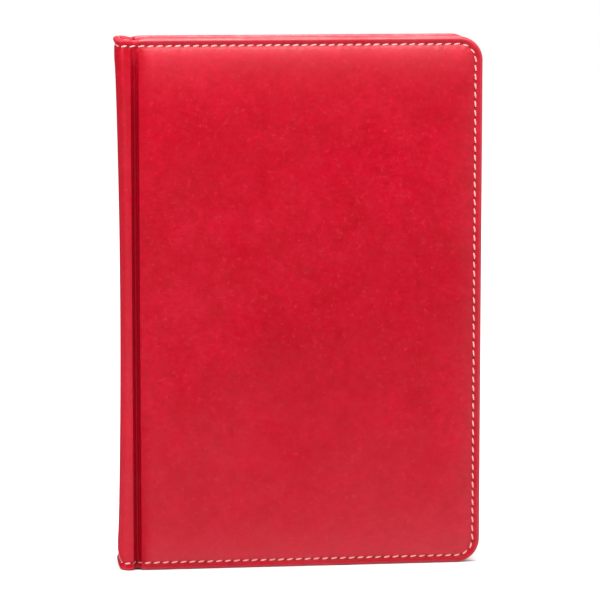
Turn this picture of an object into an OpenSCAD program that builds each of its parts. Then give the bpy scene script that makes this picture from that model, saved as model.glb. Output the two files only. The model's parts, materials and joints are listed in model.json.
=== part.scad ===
// Pocket notebook: padded leatherette case with a stitched edge, sewn block of
// leaves, endpapers, headbands and a hollow back. It stands on its tail edge,
// front cover towards -Y, spine towards -X, head up.

/* [Case] */
// Height of the covers, head to tail
cover_h = 152; // [110:1:230]
// Width of the closed book, spine to fore edge
book_w = 104; // [75:1:160]
// Thickness of the closed book
book_t = 17.8; // [16:0.1:24]
// Radius of the two fore-edge corners of each cover
corner_r = 6.8; // [5:0.1:12]
// Thickness of the leatherette
skin_t = 0.8; // [0.6:0.05:0.9]
// Thickness of each cover without its pastedown
cover_t = 2.7; // [2.6:0.05:3.2]
// How far the middle of the spine is drawn in
spine_waist = 1.2; // [0.6:0.1:1.5]

/* [Groove] */
// Distance of the groove's centre from the spine face
groove_x = 4.9; // [4.7:0.1:5.5]
// Width of the groove
groove_w = 2.4; // [2.2:0.1:2.8]
// Depth of the groove
groove_d = 1.3; // [1:0.05:1.4]

/* [Seam] */
// Distance of the seam from the cover's edge
seam_in = 2.1; // [1.8:0.05:2.4]
// Width of the stitched valley
seam_w = 0.9; // [0.7:0.05:1]
// Thread diameter
thread_d = 0.5; // [0.4:0.05:0.55]

/* [Layers] */
// Thickness of the foam padding
foam_t = 0.5; // [0.3:0.05:0.6]
// Thickness of the cover board
board_t = 1; // [0.8:0.05:1.1]
// Thickness of the endpaper
paper_t = 0.2; // [0.15:0.01:0.25]
// How far the leatherette is turned in over the board
turn_in = 12; // [8:0.5:16]
// Border of leatherette left round the pastedown
border = 3; // [2.5:0.1:4]

/* [Leaves] */
// Overhang of the covers past the leaves
square_w = 2.5; // [2.4:0.1:3.5]
// Pitch of the sewn sections
leaf_pitch = 0.93; // [0.8:0.01:0.93]
// Gap between neighbouring sections
leaf_gap = 0.08; // [0.06:0.01:0.1]
// Corner radius of the leaves
leaf_r = 4.5; // [2:0.1:6]

/* [Binding] */
// Thickness of the spine board
spine_board_t = 1; // [0.8:0.05:1.1]
// Height of the headbands' tape
band_h = 10; // [8:0.5:14]
// Sewing stations along the back
stations = 5; // [4:1:6]

/* [Hidden] */
$fn = 64;
eps = 0.01;
half_t = book_t / 2;
spine_x = -book_w / 2;
fore_x = book_w / 2;
groove_c = spine_x + groove_x;
groove_l = groove_c - groove_w / 2;
groove_r = groove_c + groove_w / 2;
split = 0.15;
waist_r = (cover_h * cover_h / 4 + spine_waist * spine_waist) / (2 * spine_waist);
sweep_a = 2 * asin(cover_h / 2 / waist_r) + 0.2;
spine_r = 2.6;
edge_in = 1.2;
foam_in = 3;
turn_t = cover_t - skin_t - foam_t - board_t;
face_y = -half_t + cover_t + paper_t;
floor_y = -half_t + groove_d;
floor_t = skin_t;
leaf_x = spine_x + 7.5;
leaf_end = fore_x - square_w;
fold_x = spine_x + 4;
fold_end = leaf_x - 2.1;
leaf_z = square_w;
leaf_h = cover_h - 2 * square_w;
sections = 12;
half_sections = sections / 2;
stack_d = half_sections * leaf_pitch - leaf_gap / 2;
fly_d = stack_d + 0.08;
fly_x = leaf_x - 1;
strip_end = leaf_x - 1.3;
mull_t = 0.15;
lining_t = 0.3;
mull_z = 14;
band_r = 0.7;

red = [0.72, 0.07, 0.12];
thread_col = [0.93, 0.78, 0.72];
paper = [0.95, 0.92, 0.84];
grey_board = [0.55, 0.5, 0.43];
foam_col = [0.9, 0.88, 0.8];
gauze = [0.9, 0.88, 0.82];
kraft = [0.68, 0.52, 0.34];
band_col = [0.85, 0.8, 0.72];

// A flat sheet standing in XZ, lying between y0 and y0 + t, drawn from a shape in XZ
module sheet(y0, t) {
    translate([0, y0 + t, 0])
        rotate([90, 0, 0])
            linear_extrude(t)
                children();
}

// Upright shape with two rounded corners at the fore edge
module page_shape(x0, x1, z0, z1, r) {
    difference() {
        translate([x0, z0])
            square([x1 - x0, z1 - z0]);
        for (top = [0, 1]) {
            difference() {
                translate([x1 - r, top ? z1 - r : z0 - 1])
                    square([r + 1, r + 1]);
                translate([x1 - r, top ? z1 - r : z0 + r])
                    circle(r);
            }
        }
    }
}

// Cover outline drawn in by a margin on its three free edges
module outline(x0, margin) {
    page_shape(x0, fore_x - margin, margin, cover_h - margin, corner_r - margin);
}

// Padded cover slab with fully rounded head, tail and fore edges
module cover_slab() {
    r = cover_t / 2;
    sheet(-half_t, cover_t)
        outline(groove_r, r);
    for (z = [r, cover_h - r]) {
        translate([groove_r, -half_t + r, z])
            rotate([0, 90, 0])
                cylinder(r = r, h = fore_x - corner_r - groove_r);
    }
    translate([fore_x - r, -half_t + r, corner_r])
        cylinder(r = r, h = cover_h - 2 * corner_r);
    for (top = [0, 1]) {
        translate([fore_x - corner_r, -half_t + r, top ? cover_h - corner_r : corner_r])
            rotate([90, top ? 0 : 90, 0])
                rotate_extrude(angle = 90)
                    translate([corner_r - r, 0])
                        circle(r);
    }
}

// Valley for the thread, cut into a cover face from y0 inwards
module seam_valley(y0, depth) {
    sheet(y0, depth)
        difference() {
            outline(groove_r - 1, seam_in - seam_w / 2);
            outline(groove_r - 2, seam_in + seam_w / 2);
        }
}

// Thread laid round a cover along the seam
module seam_thread(y) {
    r = thread_d / 2;
    arc = corner_r - seam_in;
    for (z = [seam_in, cover_h - seam_in]) {
        translate([groove_r, y, z])
            rotate([0, 90, 0])
                cylinder(r = r, h = fore_x - corner_r - groove_r);
    }
    translate([fore_x - seam_in, y, corner_r])
        cylinder(r = r, h = cover_h - 2 * corner_r);
    for (top = [0, 1]) {
        translate([fore_x - corner_r, y, top ? cover_h - corner_r : corner_r])
            rotate([90, top ? 0 : 90, 0])
                rotate_extrude(angle = 90)
                    translate([arc, 0])
                        circle(r);
    }
}

module cover_leather() {
    board_y = -half_t + skin_t + foam_t;
    difference() {
        cover_slab();
        sheet(board_y, board_t)
            outline(groove_r + skin_t, edge_in);
        sheet(-half_t + skin_t, foam_t + eps)
            outline(groove_r + skin_t, foam_in);
        sheet(board_y + board_t - eps, turn_t + 1)
            page_shape(groove_r + skin_t, fore_x - turn_in, turn_in, cover_h - turn_in, 1);
        seam_valley(-half_t - 1, 1 + thread_d + 0.05);
        seam_valley(-half_t + cover_t - 0.3, 1);
    }
    translate([groove_c + split, floor_y, 0])
        cube([groove_w / 2 - split, floor_t, cover_h]);
}

module cover_foam() {
    sheet(-half_t + skin_t, foam_t)
        outline(groove_r + skin_t, foam_in);
}

module cover_board() {
    board_y = -half_t + skin_t + foam_t;
    difference() {
        union() {
            sheet(board_y, board_t)
                outline(groove_r + skin_t, edge_in);
            sheet(board_y + board_t - eps, turn_t + eps)
                page_shape(groove_r + skin_t, fore_x - turn_in, turn_in, cover_h - turn_in, 1);
        }
        sheet(board_y + board_t + turn_t - mull_t, 1)
            translate([groove_r - 1, mull_z])
                square([20, cover_h - 2 * mull_z]);
    }
}

module cover_mull_flange() {
    sheet(-half_t + cover_t - mull_t, mull_t)
        translate([groove_r + skin_t, mull_z])
            square([19 - skin_t, cover_h - 2 * mull_z]);
}

module cover_pastedown() {
    sheet(-half_t + cover_t, paper_t)
        page_shape(groove_r, fore_x - border, border, cover_h - border, corner_r - border);
}

module cover_stitching() {
    seam_thread(-half_t + thread_d / 2 + 0.03);
    seam_thread(-half_t + cover_t - 0.3 + thread_d / 2 + 0.02);
}

module flyleaf() {
    sheet(-fly_d - paper_t, paper_t)
        page_shape(fly_x + 0.1, leaf_end, leaf_z, leaf_z + leaf_h, leaf_r);
}

module endpaper_fold() {
    translate([fold_x, -fly_d - paper_t, leaf_z])
        cube([strip_end - fold_x, paper_t, leaf_h]);
}

// One section of leaves in the front half, counted from the middle outwards
module leaves(number) {
    sheet(-number * leaf_pitch + leaf_gap / 2, leaf_pitch - leaf_gap)
        page_shape(leaf_x, leaf_end, leaf_z, leaf_z + leaf_h, leaf_r);
}

// Spine cross-section in the radial plane: U with rounded outer corners, open to +X
module spine_u(inset, reach) {
    r = spine_r - inset;
    half = half_t - inset;
    translate([inset + r, -half])
        square([reach - inset - r, 2 * half]);
    translate([inset, -half + r])
        square([r + 1, 2 * (half - r)]);
    for (side = [-1, 1]) {
        translate([inset + r, side * (half - r)])
            circle(r);
    }
}

// Sweeps a spine cross-section along the waisted arc
module spine_sweep() {
    translate([spine_x + spine_waist - waist_r, 0, cover_h / 2])
        rotate([90, 0, 0])
            rotate([0, 0, -sweep_a / 2])
                rotate_extrude(angle = sweep_a, $fn = 720)
                    translate([waist_r, 0])
                        children();
}

module spine_block(z0, z1, x1) {
    translate([spine_x - 2, -half_t - 1, z0])
        cube([x1 - spine_x + 2, book_t + 2, z1 - z0]);
}

module spine_leather() {
    color(red) {
        difference() {
            intersection() {
                spine_sweep()
                    spine_u(0, 8);
                spine_block(0, cover_h, groove_l);
            }
            difference() {
                intersection() {
                    spine_sweep()
                        spine_u(skin_t, 9);
                    spine_block(-1, cover_h + 1, groove_l - skin_t);
                }
                for (z = [-1, cover_h - skin_t]) {
                    intersection() {
                        spine_sweep()
                            translate([0, -half_t])
                                square([skin_t + spine_board_t + 0.6, book_t]);
                        translate([spine_x - 2, -half_t, z])
                            cube([8, book_t, 1 + skin_t]);
                    }
                }
                for (z = [0, cover_h - turn_in]) {
                    intersection() {
                        spine_sweep()
                            translate([skin_t + spine_board_t + 0.1, -half_t])
                                square([0.5, book_t]);
                        translate([spine_x - 2, -half_t, z])
                            cube([8, book_t, turn_in]);
                    }
                }
            }
            translate([groove_l - skin_t, -floor_half(), -1])
                cube([5, 2 * floor_half(), cover_h + 2]);
            spine_seam_valleys();
        }
        for (side = [-1, 1]) {
            translate([groove_l - skin_t, side * (half_t - groove_d - floor_t / 2) - floor_t / 2, 0])
                cube([groove_w / 2 + skin_t - split, floor_t, cover_h]);
        }
    }
}

function floor_half() = half_t - groove_d - floor_t;

module spine_seam_valleys() {
    for (z = [seam_in, cover_h - seam_in]) {
        translate([spine_x, 0, z - seam_w / 2])
            linear_extrude(seam_w)
                difference() {
                    translate([-1, -half_t - 1])
                        square([8, book_t + 2]);
                    spine_u(thread_d + 0.05 + 0.06, 9);
                }
    }
}

module spine_stitching() {
    r = thread_d / 2;
    inset = 0.06 + 0.03 + r;
    arc = spine_r - inset;
    color(thread_col)
        for (z = [seam_in, cover_h - seam_in]) {
            translate([spine_x + inset, 0, z])
                rotate([90, 0, 0])
                    cylinder(r = r, h = 2 * (half_t - spine_r), center = true);
            for (side = [-1, 1]) {
                translate([spine_x + spine_r, side * (half_t - spine_r), z])
                    rotate([0, 0, side > 0 ? 90 : 180])
                        rotate_extrude(angle = 90)
                            translate([arc, 0])
                                circle(r);
                translate([spine_x + spine_r, side * (half_t - inset), z])
                    rotate([0, 90, 0])
                        cylinder(r = r, h = groove_l - spine_x - spine_r);
            }
        }
}

module spine_board() {
    color(grey_board)
        intersection() {
            spine_sweep()
                translate([skin_t + 0.03, -half_t + spine_r])
                    square([spine_board_t, book_t - 2 * spine_r]);
            spine_block(skin_t + 0.1, cover_h - skin_t - 0.1, groove_l);
        }
}

module spine_lining() {
    color(kraft)
        translate([fold_x - mull_t - lining_t, -stack_d, 6])
            cube([lining_t, 2 * stack_d, cover_h - 12]);
}

module mull() {
    z0 = mull_z;
    h = cover_h - 2 * mull_z;
    out = -face_y - eps;
    color(gauze) {
        translate([fold_x - mull_t, -out, z0])
            cube([mull_t, 2 * out, h]);
        for (side = [-1, 1]) {
            translate([fold_x - mull_t, side * (out - mull_t / 2) - mull_t / 2, z0])
                cube([1, mull_t, h]);
        }
    }
}

// Folded back edges of all sections, each rounded at the back, glued to one another
module section_folds() {
    t = leaf_pitch - leaf_gap;
    color(paper)
        difference() {
            union() {
                for (i = [0:sections - 1]) {
                    y = (i - (sections - 1) / 2) * leaf_pitch;
                    translate([fold_x + t / 2, y, leaf_z])
                        cylinder(d = t, h = leaf_h);
                    translate([fold_x + t / 2, y - t / 2, leaf_z])
                        cube([fold_end - fold_x - t / 2, t, leaf_h]);
                }
                translate([fold_x + t / 2, -stack_d, leaf_z])
                    cube([0.3, 2 * stack_d, leaf_h]);
            }
            for (i = [0:stations - 1]) {
                translate([fold_x + 0.35, 0, station_z(i)])
                    rotate([90, 0, 0])
                        cylinder(r = 0.3, h = book_t, center = true);
            }
        }
}

function station_z(i) = leaf_z + 12 + i * (leaf_h - 24) / (stations - 1);

module sewing_thread() {
    color(thread_col)
        for (i = [0:stations - 1]) {
            translate([fold_x + 0.35, 0, station_z(i)])
                rotate([90, 0, 0])
                    cylinder(r = 0.25, h = 2 * stack_d, center = true);
        }
}

// Beaded band with its tape, glued to the back of the sections
module band() {
    color(band_col) {
        translate([fold_x - mull_t, -stack_d, leaf_z + 0.5])
            cube([mull_t, 2 * stack_d, band_h]);
        translate([fold_x - mull_t + band_r, 0, leaf_z - band_r - 0.05])
            rotate([90, 0, 0])
                cylinder(r = band_r, h = 2 * stack_d, center = true);
        translate([fold_x - mull_t, -stack_d, leaf_z - band_r - 0.05])
            cube([mull_t, 2 * stack_d, band_r + 1]);
    }
}

module head_band() {
    translate([0, 0, cover_h])
        mirror([0, 0, 1])
            band();
}

module tail_band() {
    band();
}

module back_side() {
    mirror([0, 1, 0])
        children();
}

module front_cover_leather() { color(red) cover_leather(); }
module front_foam_pad() { color(foam_col) cover_foam(); }
module front_board() { color(grey_board) cover_board(); }
module front_mull_flange() { color(gauze) cover_mull_flange(); }
module front_pastedown() { color(paper) cover_pastedown(); }
module front_stitching() { color(thread_col) cover_stitching(); }
module front_flyleaf() { color(paper) flyleaf(); }
module front_endpaper_fold() { color(paper) endpaper_fold(); }
module back_cover_leather() { color(red) back_side() cover_leather(); }
module back_foam_pad() { color(foam_col) back_side() cover_foam(); }
module back_board() { color(grey_board) back_side() cover_board(); }
module back_mull_flange() { color(gauze) back_side() cover_mull_flange(); }
module back_pastedown() { color(paper) back_side() cover_pastedown(); }
module back_stitching() { color(thread_col) back_side() cover_stitching(); }
module back_flyleaf() { color(paper) back_side() flyleaf(); }
module back_endpaper_fold() { color(paper) back_side() endpaper_fold(); }
module leaves_f1() { color(paper) leaves(1); }
module leaves_f2() { color(paper) leaves(2); }
module leaves_f3() { color(paper) leaves(3); }
module leaves_f4() { color(paper) leaves(4); }
module leaves_f5() { color(paper) leaves(5); }
module leaves_f6() { color(paper) leaves(6); }
module leaves_b1() { color(paper) back_side() leaves(1); }
module leaves_b2() { color(paper) back_side() leaves(2); }
module leaves_b3() { color(paper) back_side() leaves(3); }
module leaves_b4() { color(paper) back_side() leaves(4); }
module leaves_b5() { color(paper) back_side() leaves(5); }
module leaves_b6() { color(paper) back_side() leaves(6); }

spine_leather();
spine_board();
spine_stitching();
spine_lining();
mull();
section_folds();
sewing_thread();
head_band();
tail_band();
front_endpaper_fold();
back_endpaper_fold();
front_cover_leather();
front_foam_pad();
front_board();
front_mull_flange();
front_pastedown();
front_stitching();
back_cover_leather();
back_foam_pad();
back_board();
back_mull_flange();
back_pastedown();
back_stitching();
front_flyleaf();
back_flyleaf();
leaves_f1();
leaves_f2();
leaves_f3();
leaves_f4();
leaves_f5();
leaves_f6();
leaves_b1();
leaves_b2();
leaves_b3();
leaves_b4();
leaves_b5();
leaves_b6();
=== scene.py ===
import bpy
import json
import math
import numpy as np
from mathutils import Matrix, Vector


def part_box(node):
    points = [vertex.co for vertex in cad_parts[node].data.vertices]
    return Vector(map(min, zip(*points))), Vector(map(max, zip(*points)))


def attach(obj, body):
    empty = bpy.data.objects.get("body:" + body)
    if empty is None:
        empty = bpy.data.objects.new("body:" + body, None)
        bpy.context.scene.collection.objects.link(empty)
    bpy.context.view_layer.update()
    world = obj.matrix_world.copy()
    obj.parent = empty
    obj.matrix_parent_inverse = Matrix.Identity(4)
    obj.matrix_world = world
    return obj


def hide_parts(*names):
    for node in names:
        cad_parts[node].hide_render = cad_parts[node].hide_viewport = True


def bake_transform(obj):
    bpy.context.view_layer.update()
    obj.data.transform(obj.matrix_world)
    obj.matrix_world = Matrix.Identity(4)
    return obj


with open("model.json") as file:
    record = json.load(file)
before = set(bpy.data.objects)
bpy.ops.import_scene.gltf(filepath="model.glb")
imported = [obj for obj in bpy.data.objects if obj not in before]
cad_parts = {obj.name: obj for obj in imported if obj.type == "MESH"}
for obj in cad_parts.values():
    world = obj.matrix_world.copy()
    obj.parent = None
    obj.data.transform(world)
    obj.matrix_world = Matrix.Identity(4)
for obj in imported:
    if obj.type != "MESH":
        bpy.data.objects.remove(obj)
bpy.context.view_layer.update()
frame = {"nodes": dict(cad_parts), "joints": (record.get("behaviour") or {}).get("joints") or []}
nodes = frame["nodes"]

# ------------------------------------------------------------------ measures
# Everything below is in millimetres and is scaled by MM where a mesh is made.
MM = 0.001


def box_mm(node):
    """Lowest and highest corner of a CAD node."""
    return tuple(np.array(p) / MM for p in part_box(node))


skin_low, skin_high = box_mm("front_cover_leather")
fly_low, fly_high = box_mm("front_flyleaf")
paste_low, paste_high = box_mm("front_pastedown")
fold_low, fold_high = box_mm("section_folds")
HEIGHT = skin_high[2]
MID_Z = HEIGHT / 2
FORE_X = skin_high[0]
SPINE_X = box_mm("spine_leather")[0][0]
HALF_T = -skin_low[1]
COVER_T = skin_high[1] - skin_low[1]
EDGE_R = COVER_T / 2
MID_Y = -HALF_T + EDGE_R
hinge = {j["name"]: j for j in frame["joints"]}
GROOVE_X = hinge["front_cover_hinge"]["pos_m"][0] / MM
FLY_HINGE_X = hinge["front_flyleaf_turn"]["pos_m"][0] / MM
LEAF_HINGE_X = hinge["leaves_f1_turn"]["pos_m"][0] / MM
CORNER_R = 6.8        # fore-edge corners
WAIST = 1.2           # how far the spine is drawn in at mid height
SPINE_R = 2.6         # rounding from the spine to the joint
SPINE_CROWN = 0.12    # how far the spine's middle stands out
SPINE_T = 2.3         # thickness of the spine's edge at head and tail
SPINE_FLARE = 0.40    # how far the spine spreads at head and tail
SEAM_IN = 2.1         # from the edge to the seam
PITCH = 2.56          # length of a stitch
GROOVE_HALF = 1.06    # half the groove's width
GROOVE_DEPTH = 1.45
GROOVE_SKIN = 0.5     # half thickness of the case in the groove
JOINT_SKIN = 0.8      # half thickness of the case between spine and groove
SHOULDER_X = GROOVE_X - 1.4
CORNER_X = FORE_X - CORNER_R
CORNER_Z = HEIGHT - CORNER_R


# ------------------------------------------------------------------- helpers
def catmull(points, step):
    """Points along a Catmull-Rom curve through the given ones, about step apart."""
    p = np.array(points, float)
    ext = np.vstack([2 * p[0] - p[1], p, 2 * p[-1] - p[-2]])
    out = []
    for i in range(len(p) - 1):
        a, b, c, d = ext[i:i + 4]
        n = max(1, int(round(np.linalg.norm(c - b) / step)))
        for t in np.arange(n) / n:
            out.append(0.5 * ((2 * b) + (c - a) * t + (2 * a - 5 * b + 4 * c - d) * t ** 2
                              + (3 * b - a - 3 * c + d) * t ** 3))
    out.append(p[-1])
    return np.array(out)


def smooth(t):
    t = np.clip(t, 0, 1)
    return t * t * (3 - 2 * t)


def add_mesh(name, verts, faces, material, shade=True):
    mesh = bpy.data.meshes.new(name)
    mesh.from_pydata([tuple(v) for v in np.asarray(verts) * MM], [], faces)
    mesh.validate()
    mesh.update()
    if shade:
        mesh.polygons.foreach_set("use_smooth", [True] * len(mesh.polygons))
    mesh.materials.append(material)
    obj = bpy.data.objects.new(name, mesh)
    bpy.context.scene.collection.objects.link(obj)
    return obj


def grid_faces(nu, nv, flip=False, offset=0):
    faces = []
    for i in range(nu - 1):
        for j in range(nv - 1):
            a = offset + i * nv + j
            quad = (a, a + nv, a + nv + 1, a + 1)
            faces.append(quad[::-1] if flip else quad)
    return faces


# ----------------------------------------------------------------- materials
class Nodes:
    """A short way to write a procedural material."""

    def __init__(self, name):
        self.mat = bpy.data.materials.new(name)
        self.mat.use_nodes = True
        self.tree = self.mat.node_tree
        self.shader = self.tree.nodes["Principled BSDF"]
        self.place = self.node("ShaderNodeTexCoord").outputs["Object"]

    def node(self, kind, **settings):
        n = self.tree.nodes.new(kind)
        for key, value in settings.items():
            setattr(n, key, value)
        return n

    def put(self, target, value):
        if isinstance(value, bpy.types.NodeSocket):
            self.tree.links.new(value, target)
        else:
            target.default_value = value

    def noise(self, scale, detail=3.0, rough=0.55, at=None, distortion=0.0):
        n = self.node("ShaderNodeTexNoise")
        self.put(n.inputs["Vector"], at or self.place)
        n.inputs["Scale"].default_value = scale
        n.inputs["Detail"].default_value = detail
        n.inputs["Roughness"].default_value = rough
        n.inputs["Distortion"].default_value = distortion
        return n.outputs["Fac"]

    def voronoi(self, scale, feature="F1", at=None):
        n = self.node("ShaderNodeTexVoronoi", feature=feature)
        self.put(n.inputs["Vector"], at or self.place)
        n.inputs["Scale"].default_value = scale
        return n.outputs["Distance"]

    def math(self, op, a, b=0.0, c=0.0):
        n = self.node("ShaderNodeMath", operation=op)
        for socket, value in zip(n.inputs, (a, b, c)):
            self.put(socket, value)
        return n.outputs[0]

    def ramp(self, value, stops):
        n = self.node("ShaderNodeValToRGB")
        self.put(n.inputs["Fac"], value)
        while len(n.color_ramp.elements) < len(stops):
            n.color_ramp.elements.new(0.5)
        for e, (pos, col) in zip(n.color_ramp.elements, stops):
            e.position = pos
            e.color = (*col, 1.0) if len(col) == 3 else col
        return n.outputs["Color"]

    def span(self, value, low, high, to_low=0.0, to_high=1.0):
        n = self.node("ShaderNodeMapRange")
        self.put(n.inputs["Value"], value)
        for key, number in (("From Min", low), ("From Max", high), ("To Min", to_low), ("To Max", to_high)):
            n.inputs[key].default_value = number
        return n.outputs["Result"]

    def mix(self, factor, a, b, blend="MIX"):
        n = self.node("ShaderNodeMix", data_type="RGBA", blend_type=blend)
        self.put(n.inputs["Factor"], factor)
        self.put(n.inputs["A"], (*a, 1.0) if isinstance(a, tuple) else a)
        self.put(n.inputs["B"], (*b, 1.0) if isinstance(b, tuple) else b)
        return n.outputs["Result"]

    def scaled(self, x, y, z):
        n = self.node("ShaderNodeMapping")
        self.put(n.inputs["Vector"], self.place)
        n.inputs["Scale"].default_value = (x, y, z)
        return n.outputs["Vector"]

    def attribute(self, name):
        return self.node("ShaderNodeAttribute", attribute_name=name).outputs["Fac"]

    def axis(self, letter):
        n = self.node("ShaderNodeSeparateXYZ")
        self.put(n.inputs[0], self.place)
        return n.outputs[letter]

    def bump(self, *layers):
        """layers: (height, strength, distance in metres)"""
        normal = None
        for height, strength, distance in layers:
            n = self.node("ShaderNodeBump")
            n.inputs["Strength"].default_value = strength
            n.inputs["Distance"].default_value = distance
            self.put(n.inputs["Height"], height)
            if normal is not None:
                self.put(n.inputs["Normal"], normal)
            normal = n.outputs["Normal"]
        self.put(self.shader.inputs["Normal"], normal)
        self.put(self.shader.inputs["Coat Normal"], normal)

    def finish(self, **sockets):
        for key, value in sockets.items():
            self.put(self.shader.inputs[key.replace("_", " ")], value)
        return self.mat


def leatherette():
    n = Nodes("leatherette")
    cloud = n.noise(22.0, 4.0, 0.6)
    blotch = n.noise(150.0, 3.0, 0.6, distortion=0.6)
    speck = n.noise(900.0, 2.0, 0.5)
    fleck = n.noise(1.0, 3.0, 0.6, at=n.scaled(520.0, 520.0, 900.0))
    base = n.ramp(cloud, [(0.30, (0.385, 0.0006, 0.012)), (0.52, (0.43, 0.0012, 0.015)),
                          (0.72, (0.47, 0.0040, 0.021))])
    mottled = n.mix(n.span(blotch, 0.35, 0.7, 0.0, 0.62), base, (0.33, 0.0003, 0.006))
    pale = n.mix(n.span(speck, 0.60, 0.78, 0.0, 0.45), mottled, (0.57, 0.024, 0.042))
    flecked = n.mix(n.span(fleck, 0.42, 0.70, 0.0, 0.5), pale, (0.30, 0.0002, 0.005))
    # groove darkening: partly heat-pressed leather, partly painted shade in the groove
    pressed_and_shaded = n.mix(n.attribute("pressed_and_shaded"), flecked, (0.28, 0.0006, 0.007))
    # paler leather of worn edges, plus painted sheen near the head, tail and fore edge and a painted reflection on
    # the lower face
    worn_and_sheened = n.mix(n.span(n.attribute("wear_and_sheen"), 0.0, 1.0, 0.0, 0.35), pressed_and_shaded, (0.74, 0.088, 0.115))
    grain = n.voronoi(1500.0)
    pebble = n.noise(420.0, 3.0, 0.6)
    n.bump((pebble, 0.20, 0.00025), (grain, 0.16, 0.00012), (n.noise(2600.0, 2.0), 0.10, 0.00008))
    haze = n.math("ADD", n.span(n.noise(38.0, 3.0, 0.55, distortion=0.4), 0.32, 0.68, 0.15, 0.95),
                  n.span(n.noise(330.0, 3.0, 0.6), 0.3, 0.7, 0.2, 0.9))
    facing = n.node("ShaderNodeLayerWeight").outputs["Facing"]
    grazing = n.math("MULTIPLY", n.math("POWER", facing, 4.0), 0.3)
    rough = n.math("ADD", n.span(n.noise(300.0, 3.0), 0.3, 0.7, 0.44, 0.54), grazing)
    return n.finish(Base_Color=worn_and_sheened, Roughness=rough, Specular_IOR_Level=0.0,
                    Coat_Weight=n.math("MULTIPLY", n.attribute("gloss"), haze), Coat_Roughness=0.31)


def needle_hole_shade():
    # near-black colour painted as the shade inside a needle hole; the hole's mesh is only a shallow dip
    n = Nodes("needle_hole")
    base = n.ramp(n.noise(1200.0, 2.0), [(0.3, (0.10, 0.006, 0.008)), (0.7, (0.17, 0.012, 0.014))])
    n.bump((n.noise(3000.0, 2.0), 0.3, 0.0001))
    return n.finish(Base_Color=base, Roughness=n.span(n.noise(900.0), 0.3, 0.7, 0.6, 0.8))


def thread_material():
    n = Nodes("seam_thread")
    fibre = n.noise(5200.0, 3.0, 0.7)
    slow = n.noise(260.0, 2.0)
    base = n.ramp(fibre, [(0.25, (0.62, 0.24, 0.23)), (0.5, (0.85, 0.40, 0.38)), (0.8, (0.92, 0.54, 0.51))])
    tinted = n.mix(n.span(slow, 0.35, 0.7, 0.0, 0.4), base, (0.86, 0.33, 0.31))
    n.bump((fibre, 0.5, 0.00006))
    return n.finish(Base_Color=tinted, Roughness=n.span(fibre, 0.2, 0.8, 0.5, 0.72), Sheen_Weight=0.25)


RULING = 6.5


def paper_material(name, colour, ruled):
    n = Nodes(name)
    fibre = n.noise(1400.0, 4.0, 0.65)
    cloud = n.noise(60.0, 3.0)
    dark = tuple(c * 0.93 for c in colour)
    base = n.mix(n.span(cloud, 0.3, 0.7), dark, colour)
    base = n.mix(n.span(fibre, 0.35, 0.75, 0.0, 0.25), base, tuple(c * 0.86 for c in colour))
    if ruled:
        normal = n.node("ShaderNodeNewGeometry").outputs["Normal"]
        split = n.node("ShaderNodeSeparateXYZ")
        n.put(split.inputs[0], normal)
        flat = n.math("LESS_THAN", n.math("ABSOLUTE", split.outputs["Z"]), 0.5)
        height = n.math("FRACT", n.math("MULTIPLY", n.axis("Z"), 1000.0 / RULING))
        line = n.math("LESS_THAN", height, 0.035)
        inside = n.math("MULTIPLY", n.math("GREATER_THAN", n.axis("Z"), 0.0145),
                        n.math("LESS_THAN", n.axis("Z"), 0.137))
        base = n.mix(n.math("MULTIPLY", n.math("MULTIPLY", line, inside), flat), base, (0.36, 0.40, 0.46))
    n.bump((fibre, 0.25, 0.00005))
    return n.finish(Base_Color=base, Roughness=n.span(fibre, 0.3, 0.7, 0.78, 0.9))


def page_edge_material():
    """Cream paper whose edges show the separate leaves, with fine darker streaks painted as the shade between
    them.
    """
    n = Nodes("leaf_edges")
    fine = n.noise(1.0, 2.0, 0.6, at=n.scaled(40.0, 11000.0, 40.0))
    coarse = n.noise(1.0, 3.0, 0.6, at=n.scaled(20.0, 2300.0, 20.0))
    base = n.ramp(fine, [(0.3, (0.50, 0.45, 0.37)), (0.55, (0.66, 0.61, 0.52)), (0.8, (0.73, 0.69, 0.60))])
    base = n.mix(n.span(coarse, 0.42, 0.62, 0.0, 0.45), base, (0.45, 0.40, 0.32))
    n.bump((fine, 0.45, 0.00008))
    return n.finish(Base_Color=base, Roughness=n.span(fine, 0.3, 0.7, 0.75, 0.9))


def woven(name, light, dark, scale):
    n = Nodes(name)
    a = n.node("ShaderNodeTexWave", wave_type="BANDS", bands_direction="Z")
    b = n.node("ShaderNodeTexWave", wave_type="BANDS", bands_direction="Y")
    for w in (a, b):
        w.inputs["Scale"].default_value = scale
        w.inputs["Distortion"].default_value = 0.6
        n.put(w.inputs["Vector"], n.place)
    weave = n.math("MAXIMUM", a.outputs["Fac"], b.outputs["Fac"])
    base = n.mix(n.span(weave, 0.3, 0.9), dark, light)
    n.bump((weave, 0.6, 0.0001))
    return n.finish(Base_Color=base, Roughness=n.span(weave, 0.0, 1.0, 0.9, 0.75), Sheen_Weight=0.15)


def fibrous(name, light, dark, scale, rough):
    n = Nodes(name)
    f = n.noise(scale, 4.0, 0.7, at=n.scaled(1.0, 1.0, 0.35))
    base = n.ramp(f, [(0.3, dark), (0.7, light)])
    n.bump((f, 0.35, 0.0001))
    return n.finish(Base_Color=base, Roughness=n.span(f, 0.3, 0.7, rough, rough + 0.12))


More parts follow.
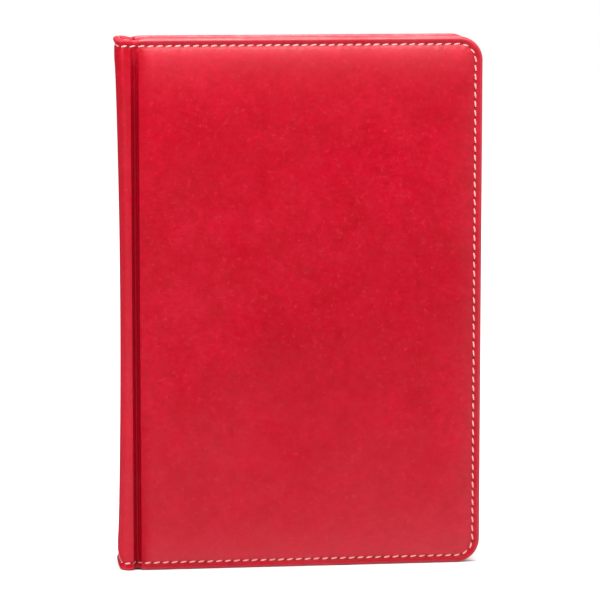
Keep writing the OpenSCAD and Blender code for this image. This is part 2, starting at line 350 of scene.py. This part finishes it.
LEATHER = leatherette()
HOLE_SHADE = needle_hole_shade()
THREAD = thread_material()
ENDPAPER = paper_material("endpaper", (0.74, 0.69, 0.585), False)
LEAF = paper_material("ruled_leaf", (0.77, 0.73, 0.635), True)
LEAF_EDGE = page_edge_material()
GAUZE = woven("gauze", (0.85, 0.82, 0.73), (0.45, 0.42, 0.35), 900.0)
BAND = woven("band_cloth", (0.84, 0.78, 0.68), (0.50, 0.08, 0.10), 500.0)
BOARD = fibrous("grey_board", (0.46, 0.41, 0.34), (0.30, 0.26, 0.21), 700.0, 0.8)
KRAFT = fibrous("kraft_lining", (0.55, 0.38, 0.21), (0.40, 0.26, 0.13), 900.0, 0.75)
FOAM = fibrous("foam_sheet", (0.88, 0.86, 0.79), (0.66, 0.63, 0.55), 2400.0, 0.85)

# ------------------------------------------------------------- the case skin
# Rim cross-section of a cover: distance from the edge, height out of the middle plane.
RIM = [(6.8, 1.35), (5.6, 1.30), (4.5, 1.20), (3.6, 1.08), (3.0, 0.97), (2.6, 0.85), (2.3, 0.72), (2.1, 0.68),
       (1.92, 0.73), (1.72, 0.86), (1.45, 1.03), (1.1, 1.17), (0.72, 1.20), (0.38, 1.02), (0.12, 0.58), (0.0, 0.0),
       (0.07, -0.55), (0.32, -0.98), (0.8, -1.26), (1.5, -1.35), (2.6, -1.35), (4.2, -1.35)]
profile = catmull(RIM, 0.17)
rim_d, rim_off = profile[:, 0], profile[:, 1]
rim_len = np.concatenate([[0], np.cumsum(np.linalg.norm(np.diff(profile, axis=0), axis=1))])
RIM_N = len(profile)
RIM_SEAM = int(np.argmin(np.abs(rim_d[:RIM_N // 2] - SEAM_IN)))


def spine_face(z):
    return SPINE_X + WAIST * (1 - ((z - MID_Z) / MID_Z) ** 2)


def groove_section(x, z):
    """Outer height lost to the groove, and half thickness of the case there, at x and z."""
    left = smooth((x - (GROOVE_X - GROOVE_HALF - 0.12)) / 0.42)
    right = smooth(((GROOVE_X + GROOVE_HALF + 0.12) - x) / 0.46)
    inside = np.minimum(left, right)
    ridge = 0.34 * np.exp(-((x - GROOVE_X + 0.05) / 0.42) ** 2)
    lost = (GROOVE_DEPTH - ridge) * inside * (0.30 + 0.70 * smooth((HEIGHT - 2.2 - z) / 8.0))
    half = np.where(x < GROOVE_X, JOINT_SKIN + (GROOVE_SKIN - JOINT_SKIN) * left,
                    GROOVE_SKIN + (EDGE_R - GROOVE_SKIN) * (1 - right))
    return lost, half


FACE_STEP = 0.64
FACE_X = GROOVE_X + 2.1
z_face = np.linspace(CORNER_R, CORNER_Z, int(round((CORNER_Z - CORNER_R) / FACE_STEP)) + 1)
x_face = np.linspace(FACE_X, CORNER_X, int(round((CORNER_X - FACE_X) / FACE_STEP)) + 1)
# columns: (kind, value), from the middle of the spine to the inside of the fore edge
columns = [("flat", t) for t in np.linspace(0, 1, 10)[:-1]]
columns += [("arc", t) for t in np.linspace(0, 1, 12)[:-1]]
columns += [("shoulder", t) for t in np.linspace(0, 1, 6)[:-1]]
columns += [("groove", x) for x in np.concatenate([np.arange(SHOULDER_X, GROOVE_X + 1.4, 0.09),
                                                   np.linspace(GROOVE_X + 1.4, FACE_X, 4)[:-1]])]
columns += [("face", x) for x in x_face[:-1]]
columns += [("rim", k) for k in range(RIM_N)]
rows = [("tail", k) for k in range(RIM_N - 1, 0, -1)]
rows += [("face", z) for z in z_face]
rows += [("head", k) for k in range(1, RIM_N)]
U, V = len(columns), len(rows)
OUTER_N = RIM_N * 0.62    # the rim's points before this one are on the outside


def skin_points():
    """Point, outward normal, edge distance and outside flag of every vertex of the front half."""
    point = np.zeros((U, V, 3))
    normal = np.zeros((U, V, 3))
    edge = np.full((U, V), 99.0)
    outer = np.ones((U, V), bool)
    for i, (kind, t) in enumerate(columns):
        for j, (row, value) in enumerate(rows):
            k = value if row != "face" else 0
            end = 1 if row == "head" else -1
            z = value if row == "face" else (HEIGHT - rim_d[k] if row == "head" else rim_d[k])
            if kind == "rim":
                m = max(t, k)
                off = rim_off[m]
                rho = CORNER_R - rim_d[m]
                if row == "face" or k == 0:
                    turn = 0.0
                elif t >= k:
                    turn = math.pi / 4 * rim_len[k] / max(rim_len[t], 1e-9)
                else:
                    turn = math.pi / 2 - math.pi / 4 * rim_len[t] / rim_len[k]
                x = CORNER_X + rho * math.cos(turn)
                if row != "face":
                    z = (CORNER_Z if end > 0 else CORNER_R) + end * rho * math.sin(turn)
                point[i, j] = (x, MID_Y - off, z)
                normal[i, j] = (0, -1, 0)
                edge[i, j] = rim_d[m]
                outer[i, j] = m < OUTER_N
                continue
            spine = spine_face(min(max(z, 0), HEIGHT))
            flat_w = HALF_T - SPINE_R
            lead = min(SPINE_R, SHOULDER_X - 0.25 - spine) - SPINE_CROWN
            lean = math.atan2(2 * SPINE_CROWN, flat_w)
            if kind == "flat":
                out = (spine + SPINE_CROWN * t * t, -t * flat_w)
                n, r = (-math.cos(lean * t), -math.sin(lean * t)), SPINE_T / 2
            elif kind == "arc":
                a = math.pi + t * math.pi / 2
                out = (spine + SPINE_CROWN + lead + lead * math.cos(a), -flat_w + SPINE_R * math.sin(a))
                a = a + lean * (1 - t)
                n = (math.cos(a), math.sin(a))
                r = SPINE_T / 2 + (JOINT_SKIN - SPINE_T / 2) * smooth(t)
            elif kind == "shoulder":
                first = spine + SPINE_CROWN + lead
                out = (first + t * (SHOULDER_X - first), -HALF_T)
                n, r = (0, -1), JOINT_SKIN
            else:
                lost, r = groove_section(np.array(t), z) if kind == "groove" else (0.0, EDGE_R)
                out, n = (t, -HALF_T + float(lost)), (0, -1)
                r = float(r)
            if row == "face":
                off = 0.0
            else:
                off = (rim_off[k] - EDGE_R) * r / EDGE_R
                edge[i, j] = rim_d[k]
                outer[i, j] = k < OUTER_N
            spread = {"flat": 1.0, "arc": 1.0 - float(smooth(t))}.get(kind, 0.0)
            flare = SPINE_FLARE * math.exp(-(min(z, HEIGHT - z) / 6.5) ** 2) * spread
            point[i, j] = (out[0] + n[0] * off - flare, out[1] + n[1] * off, z)
            normal[i, j] = (n[0], n[1], 0)
    return point, normal, edge, outer


def seam_path(point, normal):
    """The line of the seam on the front half: from the spine's middle at the head, round to the tail."""
    head = [(i, V - RIM_N + RIM_SEAM) for i, c in enumerate(columns) if c[0] != "rim"]
    first_rim = U - RIM_N
    ring = head + [(first_rim + k, V - RIM_N + RIM_SEAM) for k in range(RIM_SEAM)]
    ring += [(first_rim + RIM_SEAM, V - RIM_N + k) for k in range(RIM_SEAM, 0, -1)]
    ring += [(first_rim + RIM_SEAM, j) for j in range(V - RIM_N, RIM_N - 2, -1)]
    ring += [(first_rim + RIM_SEAM, RIM_N - 1 - k) for k in range(1, RIM_SEAM)]
    ring += [(first_rim + k, RIM_N - 1 - RIM_SEAM) for k in range(RIM_SEAM, -1, -1)]
    ring += [(i, RIM_N - 1 - RIM_SEAM) for i, c in reversed(list(enumerate(columns))) if c[0] != "rim"]
    p = np.array([point[a] for a in ring])
    n = np.array([normal[a] for a in ring])
    keep = np.concatenate([[True], np.linalg.norm(np.diff(p, axis=0), axis=1) > 1e-4])
    return p[keep], n[keep]


def resample(p, n, count):
    s = np.concatenate([[0], np.cumsum(np.linalg.norm(np.diff(p, axis=0), axis=1))])
    want = np.linspace(0, s[-1], count)
    q = np.stack([np.interp(want, s, p[:, a]) for a in range(3)], 1)
    m = np.stack([np.interp(want, s, n[:, a]) for a in range(3)], 1)
    m /= np.linalg.norm(m, axis=1)[:, None]
    return want, q, m


def crown(x, z):
    """Soft swell of the padding and the slow unevenness of a hand-made case."""
    depth = np.minimum.reduce([1.6 * (x - GROOVE_X - 1.3) + SEAM_IN, FORE_X - x, z, HEIGHT - z])
    swell = 0.55 * (1 - np.exp(-np.maximum(depth - SEAM_IN - 0.3, 0) / 6.5))
    wave = (np.sin(x * 0.21 + 0.7) * np.sin(z * 0.13 + 1.1) + 0.6 * np.sin(x * 0.083 - z * 0.147 + 2.0)
            + 0.5 * np.sin(x * 0.39 + z * 0.31))
    return swell + 0.045 * wave * smooth((depth - 4.0) / 8.0)


point, normal, edge, outer = skin_points()
path_p, path_n = seam_path(point, normal)
path_len = float(np.linalg.norm(np.diff(path_p, axis=0), axis=1).sum())
STITCHES = int(round(path_len / PITCH))
FINE = 10
fine_s, fine_p, fine_n = resample(path_p, path_n, STITCHES * FINE + 1)
step = path_len / STITCHES

# The leather gathers at each needle hole and swells between them.
near = outer & (edge > 0.9) & (edge < 4.6)
idx = np.argwhere(near)
cloud_points = point[near]
nearest = np.zeros(len(idx), int)
for a in range(0, len(idx), 2000):
    d = ((cloud_points[a:a + 2000, None, :] - fine_p[None]) ** 2).sum(2)
    nearest[a:a + 2000] = d.argmin(1)
phase = fine_s[nearest] / step
d_edge = edge[near]
window = np.exp(-((d_edge - 2.75) / 0.65) ** 2) + 0.55 * np.exp(-((d_edge - 1.45) / 0.32) ** 2)
lift = -0.055 * np.cos(2 * np.pi * phase) * window
point[near] += normal[near] * lift[:, None]
flat_face = outer & (normal[:, :, 1] < -0.9)
lift_face = crown(point[:, :, 0], point[:, :, 2]) * flat_face
point += normal * lift_face[:, :, None]
# The head and tail of the groove dip a little.
dip = np.exp(-((point[:, :, 0] - GROOVE_X) / 1.3) ** 2) * (np.abs(point[:, :, 2] - MID_Z) > MID_Z - 2.5)
point[:, :, 2] -= np.sign(point[:, :, 2] - MID_Z) * dip * 0.45

# What the leather's material reads at each vertex: the groove's darkening, partly heat-pressed leather and partly
# painted shade; the paler leather of worn edges, together with painted sheen on the face and a spine made paler
# towards the tail; and gloss, the strength of the sheen.
x_at, z_at = point[:, :, 0], point[:, :, 2]
across = np.abs(x_at - GROOVE_X)
# groove darkening: partly heat-pressed leather, partly painted shade; darkest along the walls, fading out over the
# top 25 mm towards the head
groove_heat_and_shade = 0.80 * smooth((GROOVE_HALF + 0.05 - across) / 0.35)
groove_heat_and_shade += 0.30 * np.exp(-((across - 0.85) / 0.26) ** 2)
groove_heat_and_shade = np.clip(groove_heat_and_shade, 0, 1) * flat_face * (0.05 + 0.95 * smooth((HEIGHT - 3.0 - z_at) / 25.0))
edge_wear = np.exp(-((edge - 0.3) / 0.55) ** 2)
head_gap, tail_gap, fore_gap = (np.maximum(d - SEAM_IN, 0) for d in (HEIGHT - z_at, z_at, FORE_X - x_at))
# painted sheen: the face is paler near the head, tail and fore edge, and a painted reflection makes its lower half
# paler
painted_sheen = np.maximum.reduce([np.exp(-head_gap / 5.2), 0.75 * np.exp(-tail_gap / 6.0),
                             0.3 * np.exp(-fore_gap / 4.0)])
painted_sheen += 0.22 * smooth(1.15 - z_at / 62.0)
within_seam = smooth((edge - 1.9) / 0.8)
on_cover = smooth((x_at - GROOVE_X - 0.8) / 4.0)
on_spine = smooth((GROOVE_X - 1.1 - x_at) / 0.5)
face_painted_sheen = np.minimum(painted_sheen, 1.0) * within_seam * on_cover
# the spine's leather is made paler towards the tail
spine_tail_paling = (0.06 + 0.42 * (1 - z_at / HEIGHT)) * on_spine * within_seam
wear_and_sheen = np.clip(edge_wear + face_painted_sheen * flat_face + spine_tail_paling, 0, 1)
side_on = smooth((-normal[:, :, 0] - 0.3) / 0.6)
rubbed = 0.38 * np.exp(-np.maximum(np.minimum(HEIGHT - z_at, 2.0 * (FORE_X - x_at)) - SEAM_IN, 0) / 6.0)
rubbed *= on_cover
gloss = 0.26 + rubbed + (0.44 - rubbed) * edge_wear * (0.35 + 0.65 * (x_at > GROOVE_X + 1.0))
gloss *= 1 - 0.62 * side_on * (edge > 3)


def make_skin(side):
    sign = 1 if side == "front" else -1
    verts = point.reshape(-1, 3) * np.array([1, sign, 1])
    obj = add_mesh(f"{side}_case_skin", verts, grid_faces(U, V, flip=sign < 0), LEATHER)
    for name, values in (("pressed_and_shaded", groove_heat_and_shade), ("wear_and_sheen", wear_and_sheen), ("gloss", gloss)):
        layer = obj.data.attributes.new(name, "FLOAT", "POINT")
        layer.data.foreach_set("value", values.reshape(-1).astype(np.float32))
    return obj


# ------------------------------------------------------------------ stitches
def stitch_mesh(side):
    """Twisted three-ply stitches on the seam, and the needle hole between each two."""
    sign = 1 if side == "front" else -1
    tangent = np.gradient(fine_p, axis=0)
    tangent /= np.linalg.norm(tangent, axis=1)[:, None]
    across = np.cross(fine_n, tangent)
    rings, around, segs = 15, 12, 10
    gap = 0.115    # share of the pitch left free at each end of a stitch
    verts, faces, hole_v, hole_f = [], [], [], []
    rng = np.random.default_rng(7)
    for i in range(STITCHES):
        a, b = i * FINE, (i + 1) * FINE
        jitter = rng.normal(0, 0.012, 3)
        start = len(verts)
        for r in range(rings):
            t = r / (rings - 1)
            s = gap + (1 - 2 * gap) * t
            f = a + s * FINE
            lo = int(f)
            w = f - lo
            hi = min(lo + 1, b)
            p = fine_p[lo] * (1 - w) + fine_p[hi] * w
            n = fine_n[lo]
            ac = across[lo]
            rise = (0.30 - 0.12 * abs(n[0])) * math.sin(math.pi * t) ** 0.45 - 0.22 + jitter[0]
            slant = (t - 0.5) * (0.36 + 2 * jitter[1]) + jitter[2]
            centre = p + n * rise + ac * slant
            full = max(math.sin(math.pi * t), 0.0) ** 0.28
            for q in range(around):
                angle = 2 * math.pi * q / around
                ply = 1 + 0.10 * math.cos(3 * (angle - t * 5.2))
                half_w = (0.215 * full + 0.02) * ply
                half_h = (0.20 * full + 0.02) * ply
                verts.append(centre + ac * half_w * math.cos(angle) + n * half_h * math.sin(angle))
        for r in range(rings - 1):
            for q in range(around):
                c = start + r * around
                q2 = (q + 1) % around
                quad = (c + q, c + around + q, c + around + q2, c + q2)
                faces.append(quad if sign > 0 else quad[::-1])
        for r, flip in ((0, False), (rings - 1, True)):
            loop = [start + r * around + q for q in range(around)]
            faces.append(tuple(loop if flip == (sign > 0) else loop[::-1]))
        # needle hole at the start of the stitch
        if i == 0:
            continue
        p, n, tg, ac = fine_p[a], fine_n[a], tangent[a], across[a]
        start = len(hole_v)
        hole_v.append(p - n * 0.14)
        for ring_r, height in ((0.32, 0.03), (0.46, 0.05)):
            for q in range(segs):
                angle = 2 * math.pi * q / segs
                way = tg * math.cos(angle) + ac * math.sin(angle) * 0.85
                hole_v.append(p + way * ring_r + n * height)
        for q in range(segs):
            q2 = (q + 1) % segs
            tri = (start, start + 1 + q, start + 1 + q2)
            quad = (start + 1 + q, start + 1 + segs + q, start + 1 + segs + q2, start + 1 + q2)
            hole_f.append(tri if sign > 0 else tri[::-1])
            hole_f.append(quad if sign > 0 else quad[::-1])
    flip_y = np.array([1, sign, 1])
    thread = add_mesh(f"{side}_seam_stitches", np.array(verts) * flip_y, faces, THREAD)
    holes = add_mesh(f"{side}_needle_holes", np.array(hole_v) * flip_y, hole_f, HOLE_SHADE)
    return thread, holes


def bend_at_joint(obj):
    """Bakes obj's placement into its mesh; obj is not bent between the spine and a cover."""
    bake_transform(obj)


for side in ("front", "back"):
    skin = make_skin(side)
    stitches, holes = stitch_mesh(side)
    for obj in (skin, stitches, holes):
        bend_at_joint(obj)
    if side == "front":
        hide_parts("front_cover_leather", "spine_leather")
        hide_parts("front_stitching", "spine_stitching")
    else:
        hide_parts("back_cover_leather")
        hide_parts("back_stitching")


# ---------------------------------------------------------------- endpapers
BEND_STEP = 0.11


def paper_outline(x0, x1, z0, z1, r, fine_to):
    """Columns of a leaf: x, lowest z, highest z; fine where it bends. r rounds its fore-edge corners."""
    xs = list(np.arange(x0, fine_to, BEND_STEP)) + list(np.linspace(fine_to, x1 - r, 8)[:-1])
    xs += [x1 - r + r * math.sin(a) for a in np.linspace(0, math.pi / 2, 9)]
    out = []
    for x in xs:
        cut = 0.0
        if x > x1 - r:
            cut = r - math.sqrt(max(r * r - (x - (x1 - r)) ** 2, 0))
        out.append((x, z0 + cut, z1 - cut))
    return out


def leaf_slab(cols, y0, y1, z_steps=6):
    """A thin leaf between y0 and y1 with the outline given by its columns; closed."""
    verts, faces = [], []
    n = len(cols)
    for y in (y0, y1):
        for x, a, b in cols:
            for j in range(z_steps + 1):
                verts.append((x, y, a + (b - a) * j / z_steps))
    m = z_steps + 1
    layer = n * m
    for i in range(n - 1):
        for j in range(z_steps):
            a = i * m + j
            faces.append((a, a + m, a + m + 1, a + 1))
            faces.append((layer + a, layer + a + 1, layer + a + m + 1, layer + a + m))
        for j in (0, z_steps):
            a = i * m + j
            quad = (a, layer + a, layer + a + m, a + m)
            faces.append(quad if j == 0 else quad[::-1])
    for i in (0, n - 1):
        for j in range(z_steps):
            a = i * m + j
            quad = (a, a + 1, layer + a + 1, layer + a)
            faces.append(quad if i == 0 else quad[::-1])
    return verts, faces


def add_paper(name, verts, faces, sign, material):
    """A front piece of paper, or with sign -1 its mirror image at the back."""
    faces = faces if sign > 0 else [q[::-1] for q in faces]
    return add_mesh(name, np.array(verts) * np.array([1, sign, 1]), faces, material, shade=False)


LEAF_CORNER_R = 4.5
for side in ("front", "back"):
    sign = 1 if side == "front" else -1
    # pastedown: from the block's shoulder, across the joint, on to the board
    cols = paper_outline(fold_low[0] - 0.05, paste_high[0], paste_low[2], paste_high[2], 3.8, GROOVE_X + 2.0)
    v, f = leaf_slab(cols, paste_low[1] + 0.02, paste_high[1] - 0.01)
    paste = add_paper(f"{side}_pastedown_sheet", v, f, sign, ENDPAPER)
    bend_at_joint(paste)
    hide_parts(f"{side}_pastedown")
    # flyleaf: tipped to the sections, with finer columns near its hinge
    cols = paper_outline(fold_low[0], fly_high[0], fly_low[2], fly_high[2], LEAF_CORNER_R, FLY_HINGE_X + 3.0)
    v, f = leaf_slab(cols, fly_low[1] + 0.03, fly_high[1] - 0.03)
    fly = add_paper(f"{side}_flyleaf_sheet", v, f, sign, ENDPAPER)
    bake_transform(fly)
    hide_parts(f"{side}_flyleaf", f"{side}_endpaper_fold")

# ------------------------------------------------------------------- leaves
LEAVES_SHOWN = 7
PAPER_SHARE = 0.86    # of a leaf's room; the rest is the gap to the next leaf
for side in ("front", "back"):
    sign = 1 if side == "front" else -1
    for number in range(1, 7):
        node = f"leaves_{side[0]}{number}"
        low, high = box_mm(node)
        y_in, y_out = sorted((abs(low[1]), abs(high[1])))
        rng = np.random.default_rng(100 * number + (0 if sign > 0 else 50))
        all_v, all_f = [], []
        thick = (y_out - y_in) / LEAVES_SHOWN
        for leaf in range(LEAVES_SHOWN):
            a = y_in + leaf * thick
            b = a + thick * PAPER_SHARE
            creep = 0.16 * math.sin(math.pi * (leaf + 0.5) / LEAVES_SHOWN) - 0.16
            dx, dz = rng.normal(0, 0.035), rng.normal(0, 0.03)
            cols = paper_outline(fold_high[0] - 0.02, high[0] + creep + dx, low[2] + dz, high[2] + dz - 0.05,
                                 LEAF_CORNER_R, LEAF_HINGE_X + 3.2)
            v, f = leaf_slab(cols, -b, -a, z_steps=1)
            base = len(all_v)
            all_v += v
            all_f += [tuple(q + base for q in face) for face in f]
        pack = add_paper(f"{side}_section_{number}", all_v, all_f, sign, LEAF)
        pack.data.materials.append(LEAF_EDGE)
        for poly in pack.data.polygons:
            if abs(poly.normal.y) < 0.5:
                poly.material_index = 1
        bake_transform(pack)
        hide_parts(node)


# ---------------------------------------------------------------- headbands
def headband(node, end):
    """A wound bead across the block's back, at the head for end 1 and the tail for -1, with its tape."""
    low, high = box_mm(node)
    radius = 0.7
    tape_steps = 24
    cx = low[0] + radius
    cz = high[2] - radius if end > 0 else low[2] + radius
    turns, per, around = 26, 6, 12
    verts, faces = [], []
    n = turns * per + 1
    for i in range(n):
        y = low[1] + (high[1] - low[1]) * i / (n - 1)
        lobe = 0.86 + 0.14 * abs(math.sin(math.pi * i / per))
        for q in range(around):
            a = 2 * math.pi * q / around
            verts.append((cx + radius * lobe * math.cos(a), y, cz + radius * lobe * math.sin(a)))
    for i in range(n - 1):
        for q in range(around):
            q2 = (q + 1) % around
            faces.append((i * around + q, i * around + q2, (i + 1) * around + q2, (i + 1) * around + q))
    faces.append(tuple(range(around - 1, -1, -1)))
    faces.append(tuple((n - 1) * around + q for q in range(around)))
    # the tape below the bead
    t0 = len(verts)
    tape_end = low[2] if end > 0 else high[2]
    for y in np.linspace(low[1], high[1], tape_steps):
        for x in (low[0], low[0] + 0.14):
            for z in (cz, tape_end + 0.12 * math.sin(y * 9.0)):
                verts.append((x, y, z))
    for i in range(tape_steps - 1):
        a = t0 + i * 4
        for p, q in ((0, 1), (1, 3), (3, 2), (2, 0)):
            faces.append((a + p, a + q, a + 4 + q, a + 4 + p))
    obj = add_mesh(f"{node}_woven", verts, faces, BAND)
    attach(obj, "spine")
    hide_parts(node)


headband("head_band", 1)
headband("tail_band", -1)

# ------------------------------------------------------ carried-over CAD nodes
for name, material in (("front_board", BOARD), ("back_board", BOARD), ("spine_board", BOARD),
                       ("front_foam_pad", FOAM), ("back_foam_pad", FOAM), ("mull", GAUZE),
                       ("front_mull_flange", GAUZE), ("back_mull_flange", GAUZE), ("spine_lining", KRAFT),
                       ("section_folds", LEAF_EDGE), ("sewing_thread", THREAD)):
    mesh = nodes[name].data
    mesh.materials.clear()
    mesh.materials.append(material)

# ------------------------------------------------------------ stage and light
FLOOR_HALF = 14.0
floor_mesh = bpy.data.meshes.new("floor")
corners = [(x * FLOOR_HALF, y * FLOOR_HALF, 0) for x, y in ((-1, -1), (1, -1), (1, 1), (-1, 1))]
floor_mesh.from_pydata(corners, [], [(0, 1, 2, 3)])
floor = bpy.data.objects.new("floor", floor_mesh)
bpy.context.scene.collection.objects.link(floor)
pale = Nodes("pale_floor")
floor_mesh.materials.append(pale.finish(
    Base_Color=pale.mix(pale.span(pale.noise(3.0), 0.3, 0.7), (0.90, 0.90, 0.90), (0.92, 0.92, 0.92)),
    Roughness=0.8))
floor.visible_glossy = False    # the photograph's covers reflect no pale floor

world = bpy.data.worlds.new("studio")
bpy.context.scene.world = world
world.use_nodes = True
world.node_tree.nodes["Background"].inputs["Color"].default_value = (1, 1, 1, 1)
world.node_tree.nodes["Background"].inputs["Strength"].default_value = 0.22


def aim(obj, at, target):
    obj.location = at
    obj.rotation_euler = (Vector(target) - Vector(at)).to_track_quat("-Z", "Y").to_euler()
    bpy.context.scene.collection.objects.link(obj)


def area_light(name, at, target, size, watts):
    data = bpy.data.lights.new(name, "AREA")
    data.shape = "RECTANGLE"
    data.size, data.size_y = size
    data.energy = watts
    lamp = bpy.data.objects.new(name, data)
    lamp.visible_camera = False
    aim(lamp, at, target)


overhead = bpy.data.lights.new("overhead_light", "SUN")
overhead.energy = 2.95
overhead.angle = math.radians(24)
aim(bpy.data.objects.new("overhead_light", overhead), (0, 0.04, 1.0), (0, 0, 0))
area_light("front_softbox", (-0.03, -0.75, 0.62), (0, 0, 0.10), (0.45, 0.16), 1.8)
area_light("left_softbox", (-0.75, -0.35, 0.35), (-0.05, 0, 0.08), (0.4, 0.4), 2.6)
area_light("right_softbox", (0.85, -0.10, 0.45), (0.05, 0, 0.08), (0.4, 0.4), 1.0)
area_light("back_softbox", (0.25, 0.85, 0.50), (0, 0, 0.08), (0.5, 0.4), 1.7)
area_light("top_softbox", (0.0, -0.10, 0.34), (0, 0, 0.13), (0.4, 0.14), 0.85)

# -------------------------------------------------------------------- camera
camera_data = bpy.data.cameras.new("camera")
camera = bpy.data.objects.new("camera", camera_data)
bpy.context.scene.collection.objects.link(camera)
bpy.context.scene.camera = camera
AZIMUTH, ELEVATION, DISTANCE = math.radians(6.9), math.radians(7.83), 0.958
target = Vector((0.00065, 0.0, 0.0762))
camera.location = target + DISTANCE * Vector((-math.cos(ELEVATION) * math.sin(AZIMUTH),
                                              -math.cos(ELEVATION) * math.cos(AZIMUTH), math.sin(ELEVATION)))
camera.rotation_euler = (target - camera.location).to_track_quat("-Z", "Y").to_euler()
camera_data.sensor_width = 36.0
camera_data.lens = 200.0
camera_data.clip_end = 50.0

bpy.context.scene.view_settings.view_transform = "Standard"
